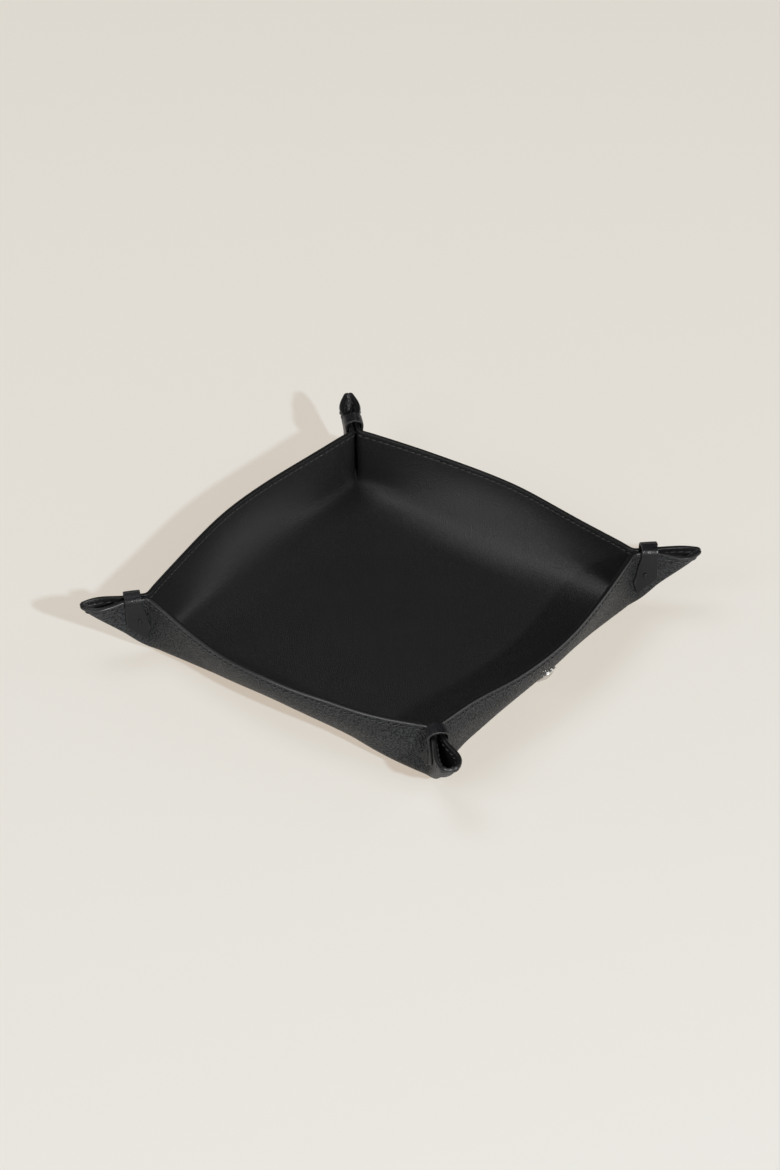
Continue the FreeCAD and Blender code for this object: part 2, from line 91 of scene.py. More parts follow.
# Values for each side, in the order +X, +Y, -X, -Y, and for its two halves.
RIM_DROP = np.array([0.0028, 0.0024, 0.0024, 0.0])
RIM_SAG = np.array([[0.0, 0.0006, 0.0, 0.0], [0.0012, 0.0, 0.0026, 0.0]])
LEATHER_IN = 0.0001
LEATHER_OUT = 0.0013
BEND_START = SHEET_HALF - WALL_RUN
CREASE_START = SHEET_HALF - CREASE_RUN
CREASE_RISE = math.radians(45.0) - EAR_SLOPE
WALL_TOP = BEND_RADIUS * (1.0 - math.cos(WALL_RUN / BEND_RADIUS))
ROOT2 = math.sqrt(2.0)
QUARTER = math.pi / 2
TINY = 1e-6
TURN_COS = np.array([1.0, 0.0, -1.0, 0.0])
TURN_SIN = np.array([0.0, 1.0, 0.0, -1.0])


def soft_ramp(value, width):
    """Zero well below nothing, the value itself well above it, and a smooth turn between."""
    return width * np.logaddexp(0.0, value / width)


def bow(t):
    """Hyperbola from 0 half way along a side to 1 at the pinch, round in the middle."""
    k = BOW_ROUNDNESS
    return (np.hypot(k, t) - k) / (np.hypot(k, 1.0) - k)


def crease_line(u):
    """The corner's fold at flat distance u: distance out, height, and how far the sheet has risen
    there, a straight slope that starts softly."""
    start = soft_ramp(FLAT_HALF - CREASE_START, CREASE_WIDTH)
    rise = np.maximum(soft_ramp(u - CREASE_START, CREASE_WIDTH) - start, 0.0)
    out = ROOT2 * (u - rise) + ROOT2 * rise * math.cos(CREASE_RISE)
    return out, ROOT2 * rise * math.sin(CREASE_RISE), rise


TIP_OUT, TIP_HEIGHT, TIP_RISE = crease_line(SHEET_HALF)


def mouth_shape(to_tip, to_crease, corner, leg):
    """Move of an ear's open end, as across, outwards and up. Across is a bulge, a power of a sine, and
    an opening, a parabola down to the pinch, that both fade to the crease, less a pinch at the nose,
    and a sideways bend. Outwards is a stretch that grows evenly to the tip, and up is a lift."""
    s = np.clip(to_tip / MOUTH_LENGTH[corner], 0.0, 1.0)
    fade = np.where(to_tip > 0.0, to_crease / np.maximum(to_tip, TINY), 0.0)
    steepness = math.log(0.5) / np.log(MOUTH_PEAK[corner])
    half = np.where(leg > 0.0, 0, 1)
    opening = EAR_OPENING[half, corner] * (1.0 - np.clip(to_tip / EAR_LENGTH, 0.0, 1.0) ** 2)
    wave = np.maximum(np.sin(math.pi * s ** steepness), 0.0) ** MOUTH_POWER[corner]
    across = (MOUTH_BULGE[half, corner] * wave + opening) * fade
    nose = np.sin(np.clip(to_crease / EAR_HALF_GAP, 0.0, QUARTER)) * np.exp(-(to_tip / NOSE_LENGTH) ** 2)
    across = across - NOSE_PINCH[corner] * nose + leg * TIP_CURL[corner] * (1.0 - s) ** TIP_CURL_POWER
    return across, TIP_REACH[corner] * (1.0 - s), TIP_LIFT[corner] * (1.0 - s) ** 2


def sheet_octant(u, v, corner, leg, drop, sag):
    """Folded place of flat place (u, v), 0 <= v <= u: the wall's arc half way along the side, the crease line
    at the corner and a bow between them, then the run along the ear and round the fold at its crease. The
    crease bulges at its foot and half way up as bell curves, the pinch is squeezed by a narrower one, and the
    wall drops half way along and sags on one half."""
    r = EAR_HALF_GAP
    arc = np.maximum(u - BEND_START, 0.0) / BEND_RADIUS
    x_mid = np.minimum(u, BEND_START) + BEND_RADIUS * np.sin(arc)
    z_mid = BEND_RADIUS * (1.0 - np.cos(arc))
    m_crease, z_crease, rise = crease_line(u)
    m_crease = m_crease + CREASE_BELLY[corner] * np.exp(-((SHEET_HALF - BELLY_MARGIN - u) / BELLY_WIDTH) ** 2)
    m_crease = m_crease + CREASE_FILL[corner] * np.exp(-((SHEET_HALF - FILL_MARGIN - u) / FILL_WIDTH) ** 2)
    ear = rise * EAR_LENGTH / CREASE_RUN
    grown = 1.0 - np.exp(-ear / EAR_GROWTH)
    along = grown * soft_ramp(v - u + ear, PINCH_WIDTH)
    along_all = grown * soft_ramp(ear, PINCH_WIDTH)
    turn = np.minimum((u - v) / r, QUARTER)
    fold_along = grown * (r * (turn - QUARTER) + r * np.cos(turn))
    mouth_across, mouth_run, mouth_lift = mouth_shape(SHEET_HALF - v, u - v, corner, leg)
    squeeze = PINCH_SQUEEZE * np.exp(-((v - u + ear) / SQUEEZE_WIDTH) ** 2)
    across = grown * (r * (np.sin(turn) - 1.0) - squeeze) + mouth_across
    ear_run = along_all - grown * r * (QUARTER - 1.0)
    m_pinch = m_crease - ear_run * math.cos(EAR_SLOPE)
    z_pinch = z_crease + ear_run * math.sin(EAR_SLOPE)
    x_pinch = (m_pinch + r * grown) / ROOT2
    y_pinch = (m_pinch - r * grown) / ROOT2
    t = (v - along) / np.maximum(u - along_all, TINY)
    run = along + fold_along + mouth_run
    x = x_mid + (x_pinch - x_mid) * bow(t) + (run * math.cos(EAR_SLOPE) + across) / ROOT2
    y = y_pinch * t + (run * math.cos(EAR_SLOPE) - across) / ROOT2
    z = z_mid + (z_pinch - z_mid) * bow(t) - run * math.sin(EAR_SLOPE) + mouth_lift
    z = z - z_mid / WALL_TOP * (drop * (1.0 - bow(t)) + sag * (4.0 * t * (1.0 - t)) ** 2)
    return x, y, z


def turned(x, y, z, side):
    """Points turned about the upright axis by as many quarter turns as the side's number."""
    c = TURN_COS[side]
    s = TURN_SIN[side]
    return np.stack([c * x - s * y, s * x + c * y, z], axis=-1)


def swung(x, y, half, corner):
    """Place in plan after a corner's ear has turned about an upright line inside the tray: the whole turn on
    the ear, a smooth share of it where the walls meet the ear, and none further in."""
    inwards = TIP_OUT - (x + half * y) / ROOT2
    share = np.clip((SWING_END - inwards) / (SWING_END - SWING_START), 0.0, 1.0)
    angle = EAR_SWING[corner] * share ** 2 * (3.0 - 2.0 * share)
    pivot_x = (TIP_OUT - SWING_REACH) / ROOT2
    dx, dy = x - pivot_x, y - half * pivot_x
    return (pivot_x + dx * np.cos(angle) - dy * np.sin(angle),
            half * pivot_x + dx * np.sin(angle) + dy * np.cos(angle))


def glue_face(u, v, side):
    """Glue line of the folded sheet at flat place (u, v) of a side: both halves of the side are mirror
    images but for the ears' own shapes, and past the crease u and v change places."""
    half = np.where(v > 0.0, 1.0, -1.0)
    corner = np.where(v > 0.0, side, (side - 1) % 4)
    width = np.abs(v)
    past = width > u
    leg = np.where(past, -half, half)
    sag = RIM_SAG[np.where(v > 0.0, 0, 1), side]
    x, y, z = sheet_octant(np.maximum(u, width), np.minimum(u, width), corner, leg, RIM_DROP[side], sag)
    x, y = swung(np.where(past, y, x), half * np.where(past, x, y), half, corner)
    return turned(x, y, z + LEATHER_OUT, side)


NORMAL_STEP = 0.0005


def sheet_normal(u, v, side):
    """Outward direction of the sheet, from differences over a small step each way."""
    along_u = glue_face(u + NORMAL_STEP, v, side) - glue_face(u - NORMAL_STEP, v, side)
    along_v = glue_face(u, v + NORMAL_STEP, side) - glue_face(u, v - NORMAL_STEP, side)
    normal = np.cross(along_v, along_u)
    return normal / np.maximum(np.linalg.norm(normal, axis=-1, keepdims=True), TINY ** 2)


def flat_place(u, v, side):
    """Place on the sheet laid flat, for patterns that follow the hide."""
    return turned(u, v, np.zeros(np.broadcast(u, v).shape), side)


RIPPLE_HEIGHT = 0.00014
RIPPLE_START = 0.074
RIPPLE_RISE = 0.020
RIPPLE_RIM = 0.012
RIPPLE_EAR = 0.004
RIPPLE_FINE = (118.0, 131.0)
RIPPLE_BROAD = (61.0, 47.0)
BROAD_SHARE = 0.6
RIPPLE_PHASES = (1.3, 0.7, 2.1)
GATHER_HEIGHT = 0.00007
GATHER_PITCH = 0.0042
GATHER_PLACE = 0.011
GATHER_REACH = 0.008
GATHER_TOP = 0.004
GATHER_FOOT = 0.036
GATHER_EASE = (0.010, 0.012)
GATHER_LEAN = 0.12
GATHER_BEND = 0.0012
BEND_RATE = 240.0
BEND_PHASE = 2.0


def wrinkles(u, v, side):
    """Unevenness of the soft hide along its normal: slow waves along the walls, products and sums of
    sines of the flat place, and short gathers that run down the walls beside each ear, a leaning sine
    in a bell curve. Both fade out on the base, at the rim and on the ears."""
    place = flat_place(u, v, side)
    x, y = place[..., 0], place[..., 1]
    from_crease = np.abs(u - np.abs(v))
    depth = SHEET_HALF - u
    on_wall = np.clip((u - RIPPLE_START) / RIPPLE_RISE, 0.0, 1.0) * np.clip(depth / RIPPLE_RIM, 0.0, 1.0)
    off_ear = np.clip((from_crease - EAR_LENGTH - RIPPLE_EAR) / RIPPLE_RIM, 0.0, 1.0)
    wave = np.sin(x * RIPPLE_FINE[0] + RIPPLE_PHASES[0] * side)
    wave = wave * np.sin(y * RIPPLE_FINE[1] + RIPPLE_PHASES[1])
    broad = np.sin(x * RIPPLE_BROAD[0] - y * RIPPLE_BROAD[1] + RIPPLE_PHASES[2])
    wave = wave + BROAD_SHARE * broad
    near = np.exp(-((from_crease - EAR_LENGTH - GATHER_PLACE) / GATHER_REACH) ** 2)
    below_top = np.clip((depth - GATHER_TOP) / GATHER_EASE[0], 0.0, 1.0)
    above_foot = np.clip((GATHER_FOOT - depth) / GATHER_EASE[1], 0.0, 1.0)
    skew = from_crease + GATHER_LEAN * depth + GATHER_BEND * np.sin(depth * BEND_RATE + BEND_PHASE * side)
    gather = np.sin(2.0 * math.pi * skew / GATHER_PITCH) * near * below_top * above_foot
    return RIPPLE_HEIGHT * wave * on_wall * off_ear + GATHER_HEIGHT * gather


def sheet_point(u, v, side, offset):
    """Point at a distance outwards from the glue line, less towards an ear's nose, where the plies are skived
    thin: a bell curve of the distance to the tip."""
    to_tip = SHEET_HALF - np.minimum(u, np.abs(v))
    skive = NOSE_SKIVE[np.where(v > 0.0, side, (side - 1) % 4)] * np.exp(-(to_tip / NOSE_LENGTH) ** 2)
    return glue_face(u, v, side) + sheet_normal(u, v, side) * (np.asarray(offset) * (1.0 - skive))[..., None]


def outline_level(ratio, inset):
    """Flat distance at which the sheet's outline, drawn in by inset, crosses the ray v = ratio u: straight
    sides, and a round corner that turns sharp once the inset has used up its radius."""
    radius = np.maximum(CORNER_RADIUS - inset, 0.0)
    reach = SHEET_HALF - inset - radius
    slope = np.abs(ratio)
    a = 1.0 + slope ** 2
    b = reach * (1.0 + slope)
    rounded = (b + np.sqrt(np.maximum(b ** 2 - a * (2.0 * reach ** 2 - radius ** 2), 0.0))) / a
    return np.where((SHEET_HALF - inset) * slope <= reach, SHEET_HALF - inset, rounded)


PINCH_REACH = 0.008
GATHER_END = 0.030
RAY_COUNTS = (6, 20, 20, 18, 18)


def sheet_rays():
    """Rays across the flat sheet, as side numbers and slopes, once round: the counts are how many lie in
    the crease's fold, along the ear, round the pinch, in the gathers and along the rest of half a side."""
    marks = [0.0, QUARTER * EAR_HALF_GAP, EAR_LENGTH - PINCH_REACH, EAR_LENGTH + PINCH_REACH,
             EAR_LENGTH + GATHER_END, SHEET_HALF]
    steps = [np.linspace(a, b, n, endpoint=False) for a, b, n in zip(marks[:-1], marks[1:], RAY_COUNTS)]
    half = 1.0 - np.concatenate(steps) / SHEET_HALF
    slopes = np.concatenate([-half, [0.0], half[:0:-1]])
    return np.repeat(np.arange(4), len(slopes)), np.tile(slopes, 4)


def linked(name, data):
    """New object of the scene at the origin, with this mesh, lamp or camera."""
    piece = bpy.data.objects.new(name, data)
    bpy.context.scene.collection.objects.link(piece)
    return piece


def surface_mesh(name, points, place, wrap_rows=False):
    """Piece from a grid of points (rows, columns, 3), closed round its columns. The ends are closed by a
    polygon each, or the rows are joined to a ring. place goes into the mesh as an attribute."""
    rows, columns = points.shape[:2]
    index = np.arange(rows * columns).reshape(rows, columns)
    across = np.roll(index, -1, axis=1)
    if wrap_rows:
        low, low_next = index, across
        high, high_next = np.roll(index, -1, axis=0), np.roll(across, -1, axis=0)
    else:
        low, low_next, high, high_next = index[:-1], across[:-1], index[1:], across[1:]
    corners = np.stack([low, low_next, high_next, high], axis=-1).reshape(-1)
    starts = np.arange(0, len(corners), 4)
    if not wrap_rows:
        corners = np.concatenate([corners, index[0][::-1], index[-1]])
        starts = np.concatenate([starts, [starts[-1] + 4, starts[-1] + 4 + columns]])
    mesh = bpy.data.meshes.new(name)
    mesh.vertices.add(rows * columns)
    mesh.vertices.foreach_set("co", points.astype(np.float32).ravel())
    mesh.loops.add(len(corners))
    mesh.loops.foreach_set("vertex_index", corners.astype(np.int32))
    mesh.polygons.add(len(starts))
    mesh.polygons.foreach_set("loop_start", starts.astype(np.int32))
    mesh.update(calc_edges=True)
    mesh.validate()
    mesh.polygons.foreach_set("use_smooth", np.ones(len(mesh.polygons), dtype=bool))
    attribute = mesh.attributes.new("flat_place", "FLOAT_VECTOR", "POINT")
    attribute.data.foreach_set("vector", place.astype(np.float32).ravel())
    return linked(name, mesh)


RIM_INSETS = np.array([
    5.0, 4.2, 3.5, 3.0, 2.75, 2.5, 2.3, 2.1, 1.85, 1.5, 1.1, 0.75, 0.5, 0.3, 0.15, 0.05]) / 1000
GLUED_STEP = 5
DISC_START = 0.04
DISC_RINGS = 5
SEEN_RINGS = 62
HIDDEN_RINGS = 14
ROUND_OVER = 0.0005
GROOVE_INSET = 0.0023
GROOVE_WIDTH = 0.0004
GROOVE_DEPTH = 0.00012


def ply(name, low_offset, high_offset, seen_low, uneven):
    """One ply as a closed skin: rings out along its lower face, over the edge and back along its upper face.
    The seen face has many rings, a groove under the stitches, a rounded edge and its share of the hide's
    unevenness; the glued face is plain."""
    side, slope = sheet_rays()
    base = BASE_RADIUS / np.hypot(1.0, slope)

    def face(offset, seen, inward):
        steps = SEEN_RINGS if seen else HIDDEN_RINGS
        disc = np.linspace(DISC_START, 1.0, DISC_RINGS)[:-1, None] * base
        wall = base + np.linspace(0.0, 1.0, steps)[:-1, None] * (outline_level(slope, RIM_INSETS[0]) - base)
        insets = RIM_INSETS if seen else RIM_INSETS[::GLUED_STEP]
        rim = np.stack([outline_level(slope, inset) for inset in insets])
        u = np.concatenate([disc, wall, rim])
        sink = np.zeros(len(u))
        if seen:
            groove = GROOVE_DEPTH * np.exp(-((insets - GROOVE_INSET) / GROOVE_WIDTH) ** 2)
            over = np.clip(1.0 - insets / ROUND_OVER, 0.0, 1.0)
            sink[-len(insets):] = groove + ROUND_OVER * (1.0 - np.sqrt(1.0 - over ** 2))
        level = np.sign(offset) * (abs(offset) - sink)[:, None] + np.zeros_like(u)
        if seen:
            level = level + uneven * wrinkles(u, u * slope, np.broadcast_to(side, u.shape))
        return (u[::-1], level[::-1]) if inward else (u, level)

    low_u, low_level = face(low_offset, seen_low, False)
    high_u, high_level = face(high_offset, not seen_low, True)
    u = np.concatenate([low_u, high_u])
    level = np.concatenate([low_level, high_level])
    v = u * slope
    sides = np.broadcast_to(side, u.shape)
    return surface_mesh(name, sheet_point(u, v, sides, level), flat_place(u, v, sides))


def add_node(material, kind, **values):
    """New shader node: names of its inputs, with _ for a space, or of its own settings, set to values."""
    node = material.node_tree.nodes.new(kind)
    for name, value in values.items():
        if hasattr(node, name):
            setattr(node, name, value)
        else:
            node.inputs[name.replace("_", " ")].default_value = value
    return node


def finish_of(name, colour, roughness, specular):
    """New material with a plain principled shader, and that shader."""
    material = bpy.data.materials.new(name)
    material.use_nodes = True
    shader = material.node_tree.nodes["Principled BSDF"]
    shader.inputs["Base Color"].default_value = (*colour, 1.0)
    shader.inputs["Roughness"].default_value = roughness
    shader.inputs["Specular IOR Level"].default_value = specular
    return material, shader


FINE_SHARE = 0.35
CLUMP_SHARE = 1.6
TIGHT_START = SHEET_HALF - EAR_LENGTH - 0.005
TIGHT_END = SHEET_HALF - EAR_LENGTH + 0.005


def hide_material(name, pore_colour_and_shade, top, roughness, specular, cell, relief, mottle, ear_relief=1.0):
    """Leather: a net of pebbles (cells about so many metres across), clumps of them and finer noise inside
    them as bump; the colour darkens from the pebbles' tops into the pores with the bump's depth, partly the
    grain's own tone and partly painted shade in the hollows, the pores are duller, and a slow change of tone
    over the hide. On the ears, where the hide is pulled tight, the bump has only a share of its strength."""
    material, shader = finish_of(name, top, roughness, specular)
    link = material.node_tree.links.new
    place = add_node(material, "ShaderNodeAttribute", attribute_name="flat_place")
    warp = add_node(material, "ShaderNodeTexNoise", Scale=0.35 / cell, Detail=2.0)
    bent = add_node(material, "ShaderNodeVectorMath", operation="MULTIPLY_ADD")
    bent.inputs[1].default_value = (cell, cell, 0.0)
    link(place.outputs["Vector"], warp.inputs["Vector"])
    link(warp.outputs["Color"], bent.inputs[0])
    link(place.outputs["Vector"], bent.inputs[2])
    cells = add_node(material, "ShaderNodeTexVoronoi", voronoi_dimensions="2D", feature="SMOOTH_F1",
                     Scale=1.0 / cell, Smoothness=0.35, Randomness=0.9)
    fine = add_node(material, "ShaderNodeTexNoise", Scale=3.2 / cell, Detail=3.0, Roughness=0.6)
    clump = add_node(material, "ShaderNodeTexNoise", Scale=0.42 / cell, Detail=2.0, Roughness=0.6)
    slow = add_node(material, "ShaderNodeTexNoise", Scale=38.0, Detail=3.0)
    for node in (cells, fine, clump):
        link(bent.outputs["Vector"], node.inputs["Vector"])
    link(place.outputs["Vector"], slow.inputs["Vector"])
    pebble = add_node(material, "ShaderNodeMapRange", interpolation_type="SMOOTHSTEP",
                      From_Min=0.1, From_Max=0.75, To_Min=1.0, To_Max=0.0)
    link(cells.outputs["Distance"], pebble.inputs["Value"])
    height = add_node(material, "ShaderNodeMath", operation="MULTIPLY_ADD")
    height.inputs[1].default_value = FINE_SHARE
    link(fine.outputs["Fac"], height.inputs[0])
    link(pebble.outputs["Result"], height.inputs[2])
    clumped = add_node(material, "ShaderNodeMath", operation="MULTIPLY_ADD")
    clumped.inputs[1].default_value = CLUMP_SHARE
    link(clump.outputs["Fac"], clumped.inputs[0])
    link(height.outputs["Value"], clumped.inputs[2])
    bump = add_node(material, "ShaderNodeBump", Strength=1.0, Distance=relief)
    link(clumped.outputs["Value"], bump.inputs["Height"])
    link(bump.outputs["Normal"], shader.inputs["Normal"])
    axes = add_node(material, "ShaderNodeSeparateXYZ")
    nearer = add_node(material, "ShaderNodeMath", operation="MINIMUM")
    link(place.outputs["Vector"], axes.inputs["Vector"])
    for axis in (0, 1):
        distance = add_node(material, "ShaderNodeMath", operation="ABSOLUTE")
        link(axes.outputs[axis], distance.inputs[0])
        link(distance.outputs["Value"], nearer.inputs[axis])
    tight = add_node(material, "ShaderNodeMapRange", interpolation_type="SMOOTHSTEP",
                     From_Min=TIGHT_START, From_Max=TIGHT_END, To_Min=1.0, To_Max=ear_relief)
    link(nearer.outputs["Value"], tight.inputs["Value"])
    link(tight.outputs["Result"], bump.inputs["Strength"])
    tone = add_node(material, "ShaderNodeMath", operation="MULTIPLY_ADD")
    tone.inputs[1].default_value = mottle
    link(slow.outputs["Fac"], tone.inputs[0])
    link(clumped.outputs["Value"], tone.inputs[2])
    # Painted shade: the colour goes from the dark pore colour to the top colour with the bump's height, so
    # the hollows are darker as if shaded; partly it is the grain's own tone.
    mix = add_node(material, "ShaderNodeMix", data_type="RGBA")
    mix.inputs[6].default_value = (*pore_colour_and_shade, 1.0)
    mix.inputs[7].default_value = (*top, 1.0)
    spread = add_node(material, "ShaderNodeMapRange",
                      From_Min=0.75 + 0.4 * mottle, From_Max=1.95 + 0.6 * mottle)
    link(tone.outputs["Value"], spread.inputs["Value"])
    link(spread.outputs["Result"], mix.inputs[0])
    link(mix.outputs[2], shader.inputs["Base Color"])
    dull = add_node(material, "ShaderNodeMapRange", From_Min=0.2, From_Max=1.2,
                    To_Min=min(roughness + 0.14, 1.0), To_Max=roughness - 0.05)
    link(height.outputs["Value"], dull.inputs["Value"])
    link(dull.outputs["Result"], shader.inputs["Roughness"])
    return material


outer = ply("outer_leather_skin", LEATHER_OUT, LEATHER_IN, seen_low=True, uneven=1.0)
# The very dark pore colour here is partly painted shade in the grain's hollows.
outer.data.materials.append(hide_material(
    "pebbled_black_hide", pore_colour_and_shade=(0.002, 0.002, 0.0021), top=(0.0300, 0.0307, 0.0328), roughness=0.43,
    specular=0.25, cell=0.00120, relief=0.00070, mottle=0.3, ear_relief=0.4))
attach(outer, "tray")
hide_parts("outer_leather")


# Lining: a second square of smooth hide of the same cut, 1.1 mm thick, glued and sewn inside
# the first. It shows all over the inside of the tray and inside the ears.
LINING_OUT = -0.0001
LINING_IN = -0.0012
lining = ply("lining_skin", LINING_OUT, LINING_IN, seen_low=False, uneven=-0.25)
lining.data.materials.append(hide_material(
    "smooth_black_hide", pore_colour_and_shade=(0.0068, 0.0068, 0.0068), top=(0.0128, 0.0128, 0.0128), roughness=0.32,
    specular=0.42, cell=0.00070, relief=0.00007, mottle=0.9))
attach(lining, "tray")
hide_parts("lining")


# Edge paint: the cut edge of both plies is trimmed flat, bevelled on the outside and painted black
# all the way round the rim. The paint is dull on top, the walls' bevel is burnished to a thin
# bright line, and the ears' bevel is left satin.
PAINT_RISE = 0.00035
PAINT_SINK = 0.00035
PAINT_SKIN = 0.00004
PAINT_ROUND = 0.00012
BEVEL = 0.0007
LINING_BEVEL = 0.0003
PAINT_CORNERS = np.array([
    [LINING_IN - PAINT_SKIN, -PAINT_SINK], [LINING_IN - PAINT_SKIN, PAINT_RISE - LINING_BEVEL],
    [LINING_IN - PAINT_SKIN + LINING_BEVEL, PAINT_RISE], [LEATHER_OUT + PAINT_SKIN - BEVEL, PAINT_RISE],
    [LEATHER_OUT + PAINT_SKIN, PAINT_RISE - BEVEL], [LEATHER_OUT - PAINT_SKIN, -PAINT_SINK - PAINT_ROUND]])
BEVEL_CORNER = 3
EASE_SHARE = 0.4


def eased_corners(corners, radius):
    """Closed outline with each corner cut off at a radius from it, or at a share of the shorter edge, as
    two points per corner in order."""
    before = np.roll(corners, 1, axis=0) - corners
    after = np.roll(corners, -1, axis=0) - corners
    before_run = np.linalg.norm(before, axis=1, keepdims=True)
    after_run = np.linalg.norm(after, axis=1, keepdims=True)
    reach = np.minimum(radius, EASE_SHARE * np.minimum(before_run, after_run))
    eased = [corners + reach * before / before_run, corners + reach * after / after_run]
    return np.stack(eased, axis=1).reshape(-1, 2)


paint_outline = eased_corners(PAINT_CORNERS, PAINT_ROUND)
paint_side, paint_slope = sheet_rays()
paint_u = np.stack([outline_level(paint_slope, -rise) for rise in paint_outline[:, 1]])
paint_offset = np.broadcast_to(paint_outline[:, :1], paint_u.shape)
paint_sides = np.broadcast_to(paint_side, paint_u.shape)
paint_v = paint_u * paint_slope
edge_paint = surface_mesh(
    "edge_paint", sheet_point(paint_u, paint_v, paint_sides, paint_offset),
    flat_place(paint_u, paint_v, paint_sides), wrap_rows=True)
paint_row = np.arange(len(paint_outline))[:, None]
on_bevel = np.broadcast_to(paint_row == 2 * BEVEL_CORNER + 1, paint_u.shape)
on_wall = np.abs(paint_slope) < 1.0 - EAR_LENGTH / SHEET_HALF
paint_choice = np.where(on_bevel, np.where(on_wall, 1, 2), 0)
edge_paint.data.polygons.foreach_set("material_index", paint_choice.astype(np.int32).ravel())


def noise_on(material, scale, detail):
    """Noise on the piece's own coordinates, as the socket with its value."""
    place = add_node(material, "ShaderNodeTexCoord")
    noise = add_node(material, "ShaderNodeTexNoise", Scale=scale, Detail=detail)
    material.node_tree.links.new(place.outputs["Object"], noise.inputs["Vector"])
    return noise.outputs["Fac"]


def roughen(material, shader, scale, detail, strength, distance):
    """Small unevenness of a finish: noise as bump."""
    bump = add_node(material, "ShaderNodeBump", Strength=strength, Distance=distance)
    material.node_tree.links.new(noise_on(material, scale, detail), bump.inputs["Height"])
    material.node_tree.links.new(bump.outputs["Normal"], shader.inputs["Normal"])


def paint_material(name, colour, roughness, specular):
    """Edge paint with the small waves that a brush leaves."""
    material, shader = finish_of(name, colour, roughness, specular)
    roughen(material, shader, scale=900.0, detail=2.0, strength=0.5, distance=0.00006)
    return material


paint_finish = paint_material("black_edge_paint", (0.004, 0.004, 0.004), 0.42, 0.36)
bevel_finish = paint_material("burnished_edge_paint", (0.012, 0.012, 0.012), 0.34, 0.9)
satin_finish = paint_material("satin_edge_paint", (0.012, 0.012, 0.012), 0.42, 0.6)
for finish in (paint_finish, bevel_finish, satin_finish):
    edge_paint.data.materials.append(finish)
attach(edge_paint, "tray")


# Rim stitching: one row of waxed black thread round the whole rim, through both plies, 2.3 mm in
# from the edge. Each stitch is a short plump bar that dips into the hide at both ends.
STITCH_PITCH = 0.0036
STITCH_LENGTH = 0.0029
STITCH_SLANT = 0.00022
THREAD_RADIUS = 0.00030
THREAD_RISE = 0.000165
THREAD_SINK = 0.00028
THREAD_TAPER = 0.55
STITCH_RINGS = 7
STITCH_SIDES = 6
STRAP_CLEAR = (0.0200, 0.0350)


def rim_walk(distance):
    """Flat place and side at a distance along the stitch line: along each straight side, then round its
    corner."""
    reach = SHEET_HALF - CORNER_RADIUS
    radius = CORNER_RADIUS - GROOVE_INSET
    side_run = 2.0 * reach + QUARTER * radius
    side = np.floor(distance / side_run).astype(int) % 4
    local = distance - np.floor(distance / side_run) * side_run
    angle = np.clip((local - 2.0 * reach) / radius, 0.0, QUARTER)
    straight = np.minimum(local, 2.0 * reach) - reach
    u = reach + radius * np.cos(angle)
    v = np.where(local > 2.0 * reach, reach + radius * np.sin(angle), straight)
    return u, v, side


def stitch_row(face_offset, away):
    """All stitches on one face: thread centres on a line along the rim that dips by a cubic at its ends,
    and round rings about them. On the outer face the stitches under the straps are left out."""
    reach = SHEET_HALF - CORNER_RADIUS
    run = 4.0 * (2.0 * reach + QUARTER * (CORNER_RADIUS - GROOVE_INSET))
    count = int(round(run / STITCH_PITCH))
    middles = np.arange(count) * run / count
    t = np.linspace(-1.0, 1.0, STITCH_RINGS)
    u, v, side = rim_walk(middles[:, None] + t * STITCH_LENGTH / 2)
    if away > 0.0:
        along = SHEET_HALF - np.minimum(np.abs(u), np.abs(v))
        under_strap = ((along > STRAP_CLEAR[0]) & (along < STRAP_CLEAR[1])).any(axis=1)
        u, v, side = u[~under_strap], v[~under_strap], side[~under_strap]
    u = u + STITCH_SLANT * t * away
    rise = THREAD_RISE - (THREAD_RADIUS + THREAD_SINK) * np.abs(t) ** 3
    normal = sheet_normal(u, v, side) * away
    centre = sheet_point(u, v, side, face_offset + away * rise)
    forward = np.gradient(centre, axis=1)
    forward = forward / np.linalg.norm(forward, axis=-1, keepdims=True)
    beside = np.cross(normal, forward)
    upward = np.cross(forward, beside)
    angle = np.linspace(0.0, 2.0 * math.pi, STITCH_SIDES, endpoint=False)[:, None]
    plump = (THREAD_RADIUS * np.sqrt(1.0 - THREAD_TAPER * t ** 4))[None, :, None, None]
    ring = beside[:, :, None] * np.cos(angle) + upward[:, :, None] * np.sin(angle)
    return centre[:, :, None] + plump * ring


def stitch_mesh(name, rings):
    """Piece from stitches (count, rings, sides, 3): quads round each stitch, and a polygon at each end."""
    count, stations, sides = rings.shape[:3]
    index = np.arange(count * stations * sides).reshape(count, stations, sides)
    across = np.roll(index, -1, axis=2)
    walls = np.stack([index[:, :-1], across[:, :-1], across[:, 1:], index[:, 1:]], axis=-1).reshape(-1, 4)
    ends = np.concatenate([index[:, 0, ::-1], index[:, -1]])
    mesh = bpy.data.meshes.new(name)
    mesh.from_pydata(rings.reshape(-1, 3).tolist(), [], walls.tolist() + ends.tolist())
    mesh.polygons.foreach_set("use_smooth", np.ones(len(mesh.polygons), dtype=bool))
    return linked(name, mesh)


stitches = stitch_mesh(
    "rim_stitching", np.concatenate([stitch_row(LINING_IN, -1.0), stitch_row(LEATHER_OUT, 1.0)]))
thread_finish, thread_shader = finish_of("waxed_black_thread", (0.035, 0.035, 0.0355), 0.45, 0.4)
roughen(thread_finish, thread_shader, scale=5200.0, detail=1.0, strength=0.8, distance=0.00006)
stitches.data.materials.append(thread_finish)
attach(stitches, "tray")


